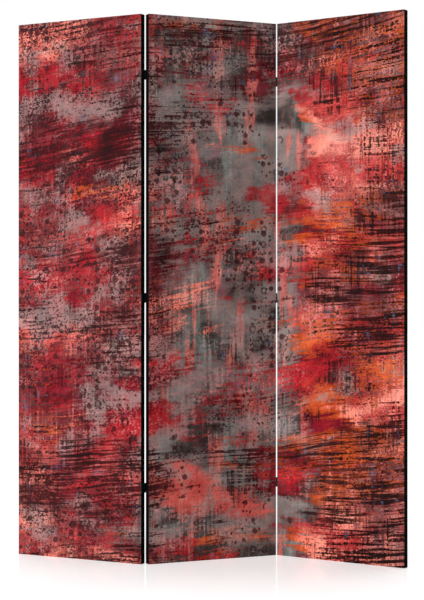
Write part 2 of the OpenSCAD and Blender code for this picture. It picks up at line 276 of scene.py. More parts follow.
def canvas_faces():
    """Quads over the box's front, its four sides and the strip turned over at the back.
    Each quad has its corners, and for each corner its place in the flat cut cloth and how far
    it is past the edge of the print."""
    depth = HIGH.y - LOW.y
    fine = depth / SIDE_STEPS
    edge = [share * CANVAS_R for share in CANVAS_ROUND] + spaced(CANVAS_R, CANVAS_TURN, fine)
    xs = mirrored(LOW.x, edge, CANVAS_GRID_X)
    ys = fine_ends(LOW.y, HIGH.y, edge[:4], fine)
    zs = fine_ends(0, PANEL_H, edge, CANVAS_GRID_Z)
    faces = []

    def put(a_values, b_values, point, cut, keep=lambda a, b: True):
        for a0, a1 in zip(a_values, a_values[1:]):
            for b0, b1 in zip(b_values, b_values[1:]):
                if keep((a0 + a1) / 2, (b0 + b1) / 2):
                    ring = [(a0, b0), (a1, b0), (a1, b1), (a0, b1)]
                    faces.append([(point(a, b), cut(a, b)) for a, b in ring])

    put(xs, zs, lambda x, z: (x, LOW.y, z), lambda x, z: (x, z, 0.0))
    for s, x in ((-1, LOW.x), (1, HIGH.x)):
        put(ys, zs, lambda y, z, x=x: (x, y, z),
            lambda y, z, s=s, x=x: (x + s * (y - LOW.y), z, y - LOW.y))
    for s, z in ((-1, 0.0), (1, PANEL_H)):
        put(xs, ys, lambda x, y, z=z: (x, y, z),
            lambda x, y, s=s, z=z: (x, z + s * (y - LOW.y), y - LOW.y))

    def nearest(x, z):
        """The panel edge that a point at the back is nearest to, and its distance."""
        return min((x - LOW.x, "left"), (HIGH.x - x, "right"), (z, "bottom"), (PANEL_H - z, "top"))

    def cut_at_back(x, z):
        far, side = nearest(x, z)
        past = depth + far
        return {"left": (LOW.x - past, z, past), "right": (HIGH.x + past, z, past),
                "bottom": (x, -past, past), "top": (x, PANEL_H + past, past)}[side]

    put(xs, zs, lambda x, z: (x, HIGH.y, z), cut_at_back,
        keep=lambda x, z: nearest(x, z)[0] < CANVAS_TURN)
    return faces


def canvas_give(p, seed):
    """How far the cloth lies inside the panel's box: the tight cloth dips between the rims, and
    each folded corner ends in a step."""
    side, end = min(p.x - LOW.x, HIGH.x - p.x), min(p.z, PANEL_H - p.z)
    if p.y <= LOW.y + HAIR:
        loose = smooth((side - RIM_W) / DISH_SPAN) * smooth((end - RIM_W) / DISH_SPAN)
        ripple = noise.noise(Vector((p.x / WAVE_L, p.z / WAVE_L, seed)))
        return (DISH + WAVE * (1 + ripple)) * loose
    if end <= HAIR:
        deep = p.y - LOW.y
        past = side - deep
        step = smooth(deep / FOLD_RISE) * smooth((HIGH.y - p.y) / FOLD_SINK + FOLD_SHARE)
    elif p.y >= HIGH.y - HAIR and side > HAIR:
        past = side - end
        step = smooth(end / FOLD_BACK)
    else:
        return 0.0
    return 0.0 if past < -WELD else FOLD_STEP * step * max(0.0, 1 - past / FOLD_FADE)


def in_panel(side, name, node, shape, materials, thick):
    """A shape as a sheet of cloth in its panel. Its inner face wears the second material."""
    piece = new_object(side + name, new_mesh(side + name, shape, *materials))
    wall = piece.modifiers.new("cloth", "SOLIDIFY")
    wall.thickness, wall.offset = thick, -1
    wall.material_offset = min(1, len(materials) - 1)
    return handed_over(flattened(piece), "panel_" + side, [side + node], PLACES[side],
                       CLOTH_CREASE)


def canvas(side, faces, materials):
    """The canvas of one panel, as one sheet with thickness, in its place."""
    index = PANELS.index(side)
    shape = bmesh.new()
    layer = shape.loops.layers.float_vector.new("cloth_place")
    made = {}
    for face in faces:
        ring = []
        for point, _ in face:
            key = tuple(round(c, 7) for c in point)
            if key not in made:
                p = Vector(point)
                place, out = soften(p)
                made[key] = shape.verts.new(place - out * canvas_give(p, CANVAS_SEED * index))
            ring.append(made[key])
        new = shape.faces.new(ring)
        inked = min(past for _, (_, _, past) in face) > CANVAS_R / 2
        new.material_index = 2 if inked else 0
        for loop, (_, (u, v, past)) in zip(new.loops, face):
            loop[layer] = (u + PANEL_W * (index + 0.5), v, past)
    shape.normal_update()
    for face in shape.faces:
        if face.normal.dot(soften(face.calc_center_median())[1]) < 0:
            face.normal_flip()
    piece = in_panel(side, "_canvas_cloth", "_canvas", shape, materials, CANVAS_T)
    return piece


def cloth_give(x, z, seed):
    """How far in from its outer plane the back cloth lies at a point of the panel."""
    side, end = PANEL_W / 2 - abs(x), min(z, PANEL_H - z)
    lean = CLOTH_LEAN * smooth((min(side, end) - CANVAS_TURN) / LEAN_SPAN)
    rails = [TIMBER_W / 2, PANEL_H / 3, 2 * PANEL_H / 3, PANEL_H - TIMBER_W / 2]
    from_rail = min(abs(z - rail) - TIMBER_W / 2 for rail in rails)
    sag = CLOTH_SAG * smooth((side - TIMBER_W) / SAG_SPAN) * smooth(from_rail / SAG_SPAN)
    return lean + sag * (1 + UNEVEN * noise.noise(Vector((x / UNEVEN_W, z / UNEVEN_H, seed))))


def staple_waves(along, length):
    """1 halfway between two staples of a row, and 0 at each staple."""
    gaps = ceil(length / STAPLE_PITCH)
    return sin(pi * min(max(along / length + 0.5, 0), 1) * gaps) ** 2


def back_cloth(side, material):
    """The cloth at the back of one panel, drawn in a little between its staples."""
    seed = CLOTH_SEED + PANELS.index(side)
    half_w, low_z, high_z = PANEL_W / 2 - CLOTH_INSET, CLOTH_INSET, PANEL_H - CLOTH_INSET
    xs = mirrored(-half_w, CLOTH_EDGE, CLOTH_GRID)
    zs = fine_ends(low_z, high_z, CLOTH_EDGE, CLOTH_GRID)
    row_l, column_l = PANEL_W - ROW_ENDS * STAPLE_EDGE, PANEL_H - ROW_ENDS * STAPLE_EDGE
    shape = bmesh.new()
    layer = shape.loops.layers.float_vector.new("cloth_place")
    rows = []
    for z in zs:
        from_end = 1 - smooth(min(z - low_z, high_z - z) / DRAWN_REACH)
        rows.append([])
        for x in xs:
            from_side = 1 - smooth((half_w - abs(x)) / DRAWN_REACH)
            loose_x = staple_waves(z - PANEL_H / 2, column_l) * from_side
            loose_z = staple_waves(x, row_l) * from_end
            rows[-1].append(shape.verts.new((
                x - copysign(DRAWN_IN, x) * loose_x,
                CLOTH_OUT - cloth_give(x, z, seed) + LIFTED * max(loose_x, loose_z),
                z + copysign(DRAWN_IN, PANEL_H / 2 - z) * loose_z)))
    for j, (z0, z1) in enumerate(zip(zs, zs[1:])):
        for i, (x0, x1) in enumerate(zip(xs, xs[1:])):
            face = shape.faces.new(
                [rows[j][i + 1], rows[j][i], rows[j + 1][i], rows[j + 1][i + 1]])
            for loop, place in zip(face.loops, ((x1, z0), (x0, z0), (x0, z1), (x1, z1))):
                loop[layer] = (*place, 0.0)
    return in_panel(side, "_backing", "_back_cloth", shape, [material], CLOTH_T)


# Staples

def staple_shape():
    """One staple: a flat wire bent twice, with its crown along X and its legs along -Y."""
    half = CROWN_W / 2 - WIRE_T / 2
    line = [(-half, -LEG_L)]
    for corner, start in ((-1, 180), (1, 90)):
        x, y = corner * (half - WIRE_BEND), WIRE_T / 2 - WIRE_BEND
        for i in range(BEND_STEPS + 1):
            a = radians(start - 90 * i / BEND_STEPS)
            line.append((x + WIRE_BEND * cos(a), y + WIRE_BEND * sin(a)))
    line.append((half, -LEG_L))
    c = 1 - WIRE_EDGE
    outline = [(1, -c), (1, c), (c, 1), (-c, 1), (-1, c), (-1, -c), (-c, -1), (c, -1)]
    shape = bmesh.new()
    rings = []
    for i, p in enumerate(line):
        along = Vector(line[min(i + 1, len(line) - 1)]) - Vector(line[max(i - 1, 0)])
        out = Vector((-along.y, along.x)).normalized() * WIRE_T / 2
        rings.append([shape.verts.new((p[0] + out.x * a, p[1] + out.y * a, WIRE_W / 2 * b))
                      for a, b in outline])
    for one, two in zip(rings, rings[1:]):
        for k in range(len(outline)):
            shape.faces.new([one[k], one[k - 1], two[k - 1], two[k]])
    shape.faces.new(rings[0])
    shape.faces.new(list(reversed(rings[-1])))
    bmesh.ops.recalc_face_normals(shape, faces=shape.faces)
    return bpy.data.objects.new("staple", new_mesh("staple", shape))


def staple_tree():
    """Staples in two columns and two rows round a panel, a little out of line as hand work is."""
    tree, add, given = new_group(
        "staple rows", "Geometry", "Geometry", Geometry="Geometry", Object="Staple",
        Float="Width Height Edge Pitch Tilt Shift", Int="Seed", Material="Wire")
    one = add("GeometryNodeObjectInfo", {"Object": given["Staple"], "As Instance": True})
    rows = []
    for size, other, along, across in (("Height", "Width", "Z", "X"),
                                       ("Width", "Height", "X", "Z")):
        ends = add("Math", [given["Edge"], ROW_ENDS], "MULTIPLY")
        length = add("Math", [given[size], ends], "SUBTRACT")
        share = add("Math", [length, given["Pitch"]], "DIVIDE")
        gaps = add("Math", [share], "CEIL")
        count = add("Math", [gaps, 1.0], "ADD")
        half = add("Math", [length, 0.5], "MULTIPLY")
        back = add("Math", [half, -1.0], "MULTIPLY")
        start = add("CombineXYZ", {along: back})
        end = add("CombineXYZ", {along: half})
        line = add("GeometryNodeMeshLine", {
            "Count": count, "Start Location": start, "Offset": end}, mode="END_POINTS")
        middle = add("Math", [given[other], 0.5], "MULTIPLY")
        away = add("Math", [middle, given["Edge"]], "SUBTRACT")
        for sign in (-1.0, 1.0):
            place = add("Math", [away, sign], "MULTIPLY")
            move = add("CombineXYZ", {across: place})
            row = add("GeometryNodeTransform", {"Geometry": line, "Translation": move})
            rows.append((row, pi / 2 if along == "Z" else 0.0))
    joined = add("GeometryNodeJoinGeometry")
    for number, (row, stand) in enumerate(rows):
        seed = add("Math", [given["Seed"], 10.0 * number], "ADD")
        low = add("Math", [given["Tilt"], -1.0], "MULTIPLY")
        tilt = add("FunctionNodeRandomValue", {
            2: low, 3: given["Tilt"], "Seed": seed}, data_type="FLOAT")
        turn = add("Math", [tilt, stand], "ADD")
        angle = add("CombineXYZ", {"Y": turn})
        span = add("CombineXYZ", {"X": given["Shift"], "Z": given["Shift"]})
        under = add("VectorMath", {0: span, "Scale": -1.0}, "SCALE")
        shift = add("FunctionNodeRandomValue", {
            0: under, 1: span, "Seed": seed}, data_type="FLOAT_VECTOR")
        astray = add("GeometryNodeSetPosition", {"Geometry": row, "Offset": shift})
        placed = add("GeometryNodeInstanceOnPoints", {
            "Points": astray, "Instance": one.outputs["Geometry"], "Rotation": angle})
        tree.links.new(placed.outputs[0], joined.inputs[0])
    return ended(tree, joined, given["Wire"])


def staples(side, tree, staple, material):
    """All the staples of one panel, with their crowns on the back cloth."""
    name = side + "_staple_rows"
    piece = made_by(tree, name, bpy.data.meshes.new(name), Staple=staple, Width=PANEL_W,
                    Height=PANEL_H, Edge=STAPLE_EDGE, Pitch=STAPLE_PITCH,
                    Tilt=radians(STAPLE_TILT), Shift=STAPLE_SHIFT, Seed=PANELS.index(side),
                    Wire=material)
    place = PLACES[side] @ Matrix.Translation((0, CLOTH_OUT, PANEL_H / 2))
    return handed_over(piece, "panel_" + side, [side + "_staples"], place)


# Hinges

def hinge_piece(node, material, edge):
    """A piece of a hinge with its edges broken, as a stamped and tumbled piece has them."""
    shape = bmesh.new()
    shape.from_mesh(frame["nodes"][node].data)
    bmesh.ops.remove_doubles(shape, verts=shape.verts, dist=WELD)
    bmesh.ops.dissolve_limit(shape, angle_limit=radians(FLAT_ANGLE), verts=shape.verts,
                             edges=shape.edges)
    sharp = [e for e in shape.edges
             if len(e.link_faces) == 2 and e.calc_face_angle() > radians(SHARP_ANGLE)]
    bmesh.ops.bevel(shape, geom=sharp, offset=edge, segments=EDGE_STEPS, profile=EDGE_ROUND,
                    affect="EDGES", clamp_overlap=True)
    bmesh.ops.triangulate(shape, faces=[f for f in shape.faces if len(f.verts) > 4])
    # The triangles come in an order that changes from run to run, so they are sorted
    shape.verts.index_update()
    count = len(shape.verts)
    shape.faces.sort(key=lambda f: sum(v.index * count ** -k for k, v in enumerate(f.verts)))
    name = node + "_finished"
    handed_over(new_object(name, new_mesh(name, shape, material)),
                frame["nodes"][node]["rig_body"], [node], crease=HINGE_CREASE)


def screw_shape():
    """One countersunk wood screw along X, its head's face at 0 and looking to +X."""
    shape = bmesh.new()

    def ring(x, radii):
        turns = [2 * pi * k / SCREW_SIDES for k in range(SCREW_SIDES)]
        return [shape.verts.new((x, r * cos(a), r * sin(a)))
                for r, a in zip(radii, turns)]

    def join(one, two):
        for k in range(len(one)):
            shape.faces.new([one[k - 1], one[k], two[k], two[k - 1]])

    # The head and the plain neck, and from there the thread, which thins out to the point
    neck = SCREW_R - HEAD_R
    start = neck - SCREW_PLAIN
    rings = [ring(x, [r] * SCREW_SIDES) for x, r in (
        (0.0, HEAD_R - HEAD_EDGE), (-HEAD_RIM, HEAD_R), (neck, SCREW_R), (start, SCREW_R))]
    steps = ceil((SCREW_L + start) / THREAD_PITCH * THREAD_STEPS)
    for i in range(1, steps + 1):
        x = start - (SCREW_L + start) * i / steps
        cut = THREAD_DEPTH * smooth(i / THREAD_START)
        body = (SCREW_R - cut) * min(1.0, (SCREW_L + x + BLUNT) / SCREW_POINT)
        radii = []
        for k in range(SCREW_SIDES):
            phase = (-x / THREAD_PITCH + k / SCREW_SIDES) % 1
            crest = cut * max(0.0, 1 - abs(phase - 0.5) * CREST_SLOPE)
            radii.append(max(body + crest * min(1.0, body / SCREW_R * CREST_END), TIP_R))
        rings.append(ring(x, radii))
    for one, two in zip(rings, rings[1:]):
        join(one, two)
    shape.faces.new(list(reversed(rings[-1])))

    # The cross recess in the head
    half, arm = RECESS_W / 2, RECESS_L / 2
    cross = []
    for turn in range(4):
        a = turn * pi / 2
        for y, z in ((arm, -half), (arm, half), (half, half)):
            cross.append((y * cos(a) - z * sin(a), y * sin(a) + z * cos(a)))
    top = [shape.verts.new((0.0, y, z)) for y, z in cross]
    bottom = [shape.verts.new((-RECESS_DEPTH, RECESS_TAPER * y, RECESS_TAPER * z))
              for y, z in cross]
    join(bottom, top)
    shape.faces.new(bottom)
    edges = [shape.edges.get((loop[k - 1], loop[k])) for loop in (top, rings[0])
             for k in range(len(loop))]
    bmesh.ops.triangle_fill(shape, use_beauty=True, edges=edges)
    bmesh.ops.recalc_face_normals(shape, faces=shape.faces)
    return bpy.data.objects.new("hinge_screw", new_mesh("hinge_screw", shape))


def screw_tree():
    """Two screws for each hinge, each stopped at a turn of its own."""
    tree, add, given = new_group(
        "hinge screws", "Geometry", "Geometry", Geometry="Geometry", Object="Screw",
        Float="Spacing", Int="Seed", Material="Steel")
    one = add("GeometryNodeObjectInfo", {"Object": given["Screw"], "As Instance": True})
    joined = add("GeometryNodeJoinGeometry")
    for share in (-0.5, 0.5):
        height = add("Math", [given["Spacing"], share], "MULTIPLY")
        move = add("CombineXYZ", {"Z": height})
        moved = add("GeometryNodeTransform", {"Geometry": given["Geometry"], "Translation": move})
        tree.links.new(moved.outputs[0], joined.inputs[0])
    spin = add("FunctionNodeRandomValue", {
        3: 2 * pi, "Seed": given["Seed"]}, data_type="FLOAT")
    angle = add("CombineXYZ", {"X": spin})
    placed = add("GeometryNodeInstanceOnPoints", {
        "Points": joined, "Instance": one.outputs["Geometry"], "Rotation": angle})
    return ended(tree, placed, given["Steel"])


def screw_row(side, tree, screw, material, seed, nodes):
    """The screws of one panel. Each node is given with its place and the way its heads look."""
    name = side + "_hinge_screw_set"
    heights = [sum(end.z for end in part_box(f"left_hinge_{z}_back_leaf")) / 2
               for z in ("low", "mid", "high")]
    shape = bmesh.new()
    for number, (node, place, look) in enumerate(nodes):
        base = bpy.data.meshes.new(name)
        base.from_pydata([(0, 0, z) for z in heights], [], [])
        piece = made_by(tree, name, base, Screw=screw, Spacing=SCREW_SPACING,
                        Seed=seed + number, Steel=material)
        turn = Matrix.Rotation(0 if look > 0 else pi, 4, "Z")
        face = Matrix.Translation((-HINGE_GAP / 2 + LEAF_T, 0, 0))
        piece.data.transform(place @ turn @ face)
        shape.from_mesh(piece.data)
        bpy.data.objects.remove(piece)
    handed_over(new_object(name, new_mesh(name, shape, material)), "panel_" + side,
                [node for node, _, _ in nodes])


# Materials

def new_material(name):
    """A new material with no nodes, and the way to add nodes to it."""
    material = bpy.data.materials.new(name)
    material.use_nodes = True
    material.node_tree.nodes.clear()
    return material, partial(add_node, material.node_tree)


def cloth_material(name, pitch):
    """A new material for cloth, the way to add nodes to it, the place in the cut cloth, and the
    height, from 0 to 1, of a plain weave whose threads are a pitch apart and wander and swell a
    little, as spun yarn does."""
    material, add = new_material(name)
    place = add("Attribute", attribute_name="cloth_place").outputs["Vector"]
    wander = add("TexNoise", {"Vector": place, "Scale": 1 / (16 * MM), "Detail": 2.0})
    strayed = add("VectorMath", {0: wander.outputs["Color"], "Scale": 1.2 * pitch}, "SCALE")
    moved = add("VectorMath", [place, strayed], "ADD")
    scaled = add("VectorMath", {0: moved, "Scale": pi / pitch}, "SCALE")
    waves = add("VectorMath", [scaled], "SINE")
    at = add("SeparateXYZ", [waves]).outputs
    over = add("Math", [at["X"], at["Y"]], "MULTIPLY")
    swell = add("TexNoise", {"Vector": place, "Scale": 1 / (3 * pitch), "Detail": 2.0})
    weave = add("Math", [over, 0.36, swell], "MULTIPLY_ADD")
    return material, add, place, weave


def dressed(material, colour, dull, relief, **more):
    """Ends a material with the plain surface shader. The roughness is given as what it follows,
    the two ends of that, and the two that it goes to. The relief is given as its height, its
    strength and its depth."""
    add = partial(add_node, material.node_tree)
    bump = add("Bump", dict(zip(("Height", "Strength", "Distance"), relief)))
    inputs = {"Base Color": colour, "Roughness": add("MapRange", dull), "Normal": bump}
    inputs.update((key.replace("_", " "), value) for key, value in more.items())
    add("OutputMaterial", {"Surface": add("BsdfPrincipled", inputs)})
    return material


def coat_group():
    """One coat of paint over what lies under it. A cloud of patches is turned and stretched,
    and its edge is torn by the brush marks. The coat lies where it is above a level, and there
    its strokes may leave bare what is under it. It has its first colour where it is thin, near
    its edge, and its second colour where it is thick, and in places it is only a veil."""
    tree, add, given = new_group(
        "coat of paint", "Shader", "Color", Color="Under Thin Thick",
        Float="Cover Mottle Angle Level Soft Fill",
        Vector="Place Side Marks Size Seed Torn Strokes More")
    turned = add("VectorRotate", {
        "Vector": given["Place"], "Angle": given["Angle"]}, rotation_type="Z_AXIS")
    scaled = add("VectorMath", [turned, given["Size"]], "DIVIDE")
    moved = add("VectorMath", [scaled, given["Seed"]], "ADD")
    height = add("TexNoise", {"Vector": moved, "Scale": 1.0, "Detail": 4.0, "Roughness": 0.55})
    torn, more, strokes = [
        add("VectorMath", [given[one], given[two]], "DOT_PRODUCT")
        for one, two in (("Marks", "Torn"), ("Side", "More"), ("Marks", "Strokes"))]
    for part, operation in ((torn, "ADD"), (more, "ADD"), (given["Level"], "SUBTRACT")):
        height = add("Math", [height, part], operation)
    edge = add("Math", [given["Soft"], -1.0], "MULTIPLY")
    cover = add("MapRange", {
        "Value": height, "From": (edge, given["Soft"])}, interpolation_type="SMOOTHSTEP")
    strokes = add("Math", [strokes, given["Fill"]], "ADD")
    strokes = add("MapRange", {
        "Value": strokes, "From": (-0.15, 0.15)}, interpolation_type="SMOOTHSTEP")
    veil = add("MapRange", {"Value": given["Mottle"], "To": (1.0, 0.78)})
    for share in (given["Cover"], strokes, veil):
        cover = add("Math", [cover, share], "MULTIPLY")
    depth = add("MapRange", {"Value": height, "From": (0.0, 0.16)})
    depth = add("Mix", {0: 0.5, 2: depth, 3: given["Mottle"]})
    paint = add("Mix", {0: depth, 6: given["Thin"], 7: given["Thick"]}, data_type="RGBA")
    over = add("Mix", {0: cover, 6: given["Under"], 7: paint}, data_type="RGBA")
    add("NodeGroupOutput", [over])
    return tree


def drop_group():
    """Drops of paint: round spots, or rings where a drop dried from its rim."""
    tree, add, given = new_group(
        "drops of paint", "Shader", "Color", Color="Under Drop",
        Float="Cover Level Radius Hollow", Vector="Place Side Marks Spacing Seed Torn More")
    scaled = add("VectorMath", [given["Place"], given["Spacing"]], "DIVIDE")
    moved = add("VectorMath", [scaled, given["Seed"]], "ADD")
    cell = add("TexVoronoi", {
        "Vector": moved, "Scale": 1.0, "Randomness": 0.7}, voronoi_dimensions="2D").outputs
    chance = add("SeparateXYZ", [cell["Color"]]).outputs
    size = add("MapRange", {"Value": chance["X"], "To": (0.3, 1.0)})
    size = add("Math", [size, given["Radius"]], "MULTIPLY")
    torn, more = [
        add("VectorMath", [given[one], given[two]], "DOT_PRODUCT")
        for one, two in (("Marks", "Torn"), ("Side", "More"))]
    far = add("Math", [cell["Distance"], torn], "ADD")
    far = add("Math", [far, size], "DIVIDE")
    disc = add("MapRange", {"Value": far, "From": (1.15, 0.8)}, interpolation_type="SMOOTHSTEP")
    inner = add("MapRange", {
        "Value": far, "From": (0.4, 0.75), "To": (1.0, 0.0)}, interpolation_type="SMOOTHSTEP")
    hole = add("Math", [inner, given["Hollow"]], "MULTIPLY")
    cover = add("Math", [disc, hole], "SUBTRACT", use_clamp=True)
    field = add("TexNoise", {"Vector": given["Place"], "Scale": 4.2, "Detail": 2.0})
    luck = add("MapRange", {"Value": chance["Y"], "To": (-0.12, 0.12)})
    for part in (more, luck):
        field = add("Math", [field, part], "ADD")
    there = add("Math", [field, given["Level"]], "GREATER_THAN")
    for share in (there, given["Cover"]):
        cover = add("Math", [cover, share], "MULTIPLY")
    over = add("Mix", {0: cover, 6: given["Under"], 7: given["Drop"]}, data_type="RGBA")
    add("NodeGroupOutput", [over])
    return tree


# The coats of paint in the print, from the ground up. Each has its thin and its thick colour,
# how much it covers, the length and width of its patches in mm, their angle in degrees, a seed,
# the level that decides how much of the cloth it leaves bare (0.5 is half) and how soft its
# edge is. Then come how much brush marks along, brush marks upright and grain tear its edge,
# how strongly the same three draw its strokes, how much its strokes cover (1 is all), and how
# much more of it lies on the left, middle and right panel
COATS = [
    ("#5A504D", "#928884", 0.95, 480, 300, 0, 1.3, 0.47, 0.055,
     (0.05, 0.05, 0.06), (0, 0, 0), 1, (0.03, 0.12, -0.05)),
    ("#262120", "#463D3A", 0.9, 480, 200, 4, 2.1, 0.565, 0.045,
     (0.05, 0.05, 0.06), (0.2, 0.1, 0.2), 0.5, (0.03, 0.065, 0.065)),
    ("#7C3E48", "#BC6C7A", 0.8, 300, 280, 0, 2.9, 0.54, 0.045,
     (0.05, 0.05, 0.05), (0, 0, 0), 1, (0.04, -0.05, 0)),
    ("#5E0A1A", "#A81832", 0.85, 620, 420, 0, 31.1, 0.53, 0.04,
     (0.06, 0.04, 0.08), (0.2, 0.1, 0.3), 0.5, (0.09, -0.11, 0.1)),
    ("#BC4440", "#FC7266", 0.95, 600, 330, 3, 3.7, 0.525, 0.03,
     (0.06, 0.05, 0.06), (0.2, 0.3, 0.2), 0.5, (0.035, -0.075, 0.05)),
    ("#606965", "#9EA6A0", 0.75, 85, 330, 0, 4.3, 0.61, 0.05,
     (0, 0.06, 0.04), (0, 0.6, 0.2), 0.4, (0, 0.03, 0)),
    ("#BC544C", "#EE887C", 0.8, 60, 300, 0, 5.1, 0.59, 0.03,
     (0, 0.08, 0.04), (0, 0.6, 0.2), 0.4, (-0.02, 0, 0.02)),
    ("#4C0612", "#B80E2A", 0.98, 520, 240, 3, 6.1, 0.54, 0.025,
     (0.1, 0.05, 0.1), (0.3, 0.1, 0.4), 0.45, (0.105, -0.075, 0.115)),
    ("#B0300C", "#F2702C", 0.95, 430, 120, 5, 7.7, 0.57, 0.03,
     (0.15, 0, 0.05), (0.9, 0, 0.2), 0.3, (-0.06, -0.06, 0.125)),
    ("#E06656", "#FFAC98", 0.95, 460, 230, 2, 8.3, 0.59, 0.035,
     (0.08, 0.05, 0.05), (0.2, 0.5, 0.2), 0.3, (0.025, -0.08, 0.11)),
    ("#900C1C", "#E02C34", 0.92, 300, 150, 0, 9.7, 0.58, 0.03,
     (0.08, 0.05, 0.1), (0.3, 0, 0.4), 0.3, (0.06, -0.035, 0.065)),
    ("#867E7B", "#A49B97", 0.7, 200, 130, 0, 10.9, 0.6, 0.05,
     (0.06, 0.05, 0.06), (0.3, 0.2, 0.3), 0.4, (0.06, 0.04, -0.02)),
    ("#8A5654", "#CC9490", 0.65, 230, 180, 0, 23.3, 0.53, 0.06,
     (0, 0, 0.08), (0, 0, 1.3), -0.15, (0.035, -0.1, -0.04)),
    ("#2E060B", "#5C0D18", 0.98, 600, 220, -3, 11.3, 0.6, 0.035,
     (0.12, 0.04, 0.08), (0.7, 0, 0.3), 0.25, (-0.01, -0.04, 0.045)),
    ("#200507", "#400A10", 0.98, 600, 190, -4, 12.7, 0.605, 0.04,
     (0.1, 0, 0.05), (1.1, 0, 0.2), -0.02, (0, -0.05, 0.08)),
    ("#180506", "#2E0A0C", 0.92, 240, 190, 0, 15.3, 0.62, 0.03,
     (0.1, 0.1, 0.05), (0.6, 1.0, 0.2), -0.02, (-0.06, -0.07, 0.055)),
    ("#28090C", "#461519", 0.88, 260, 240, 0, 17.9, 0.55, 0.05,
     (0, 0, 0.1), (0, 0.1, 1.3), -0.28, (0.05, -0.06, -0.1)),
    ("#4A5670", "#66708E", 0.6, 70, 80, 0, 19.1, 0.7, 0.04,
     (0.05, 0.08, 0.05), (0, 0, 0), 1, (-0.02, 0.01, -0.02)),
]
# The drops of paint: their colour, how much they cover, their spacing in mm, a seed, the level
# that decides how many there are, their radius as a share of the spacing, how hollow they are,
# how much grain tears them, and how many more lie on the left, middle and right panel
DROPS = [
    ("#43181C", 0.8, 14, 3.9, 0.575, 0.3, 0, 0.08, (0.04, -0.045, -0.2)),
    ("#4C1D22", 0.78, 31, 5.1, 0.575, 0.34, 0, 0.08, (0.04, -0.035, -0.2)),
    ("#33191B", 0.65, 47, 7.3, 0.6, 0.3, 0.9, 0.06, (0.04, 0, -0.2)),
]
# Under them lies a ground, lighter in places. Past the edge of the print is ink of one colour
GROUND, GROUND_LIGHT, EDGE_INK = "#704444", "#AE706C", "#050505"
# The whole print is shifted down until light paint meets the floor
PRINT_SHIFT = 85 * MM
# The strokes rise a little to the right, as a share of their length, and bend
STROKE_RISE, STROKE_BEND = 0.09, 42 * MM
# Where the left panel's paint ends and the right panel's starts, in metres across the print
# with the wandering of this border added
# The right panel's paint starts a little past the right fold, so the middle panel's greyer, darker
# paint reaches onto the right panel beside the fold: partly print running on over the fold, partly
# painted shade of the fold
LEFT_END, RIGHT_START, WANDER = (0.70, 0.60), (1.08, 1.24), 0.36
# Brush marks along, brush marks upright and grain: their length and width in mm, and a seed
MARKS = ((200, 10, 1.1), (10, 170, 2.2), (8.5, 7.5, 3.3))
# How strong the marks are on the left, middle and right panel, and how much each of the three
# shows in all of the print
DRAGGED, FAINT = (1.5, 0.95, 1.35), (0.06, 0.22, 0.28)
# The printer deepens the dark inks and lifts the light ones about a middle tone, by a power
MIDDLE_TONE, TONE_POWER = 0.1, 0.27


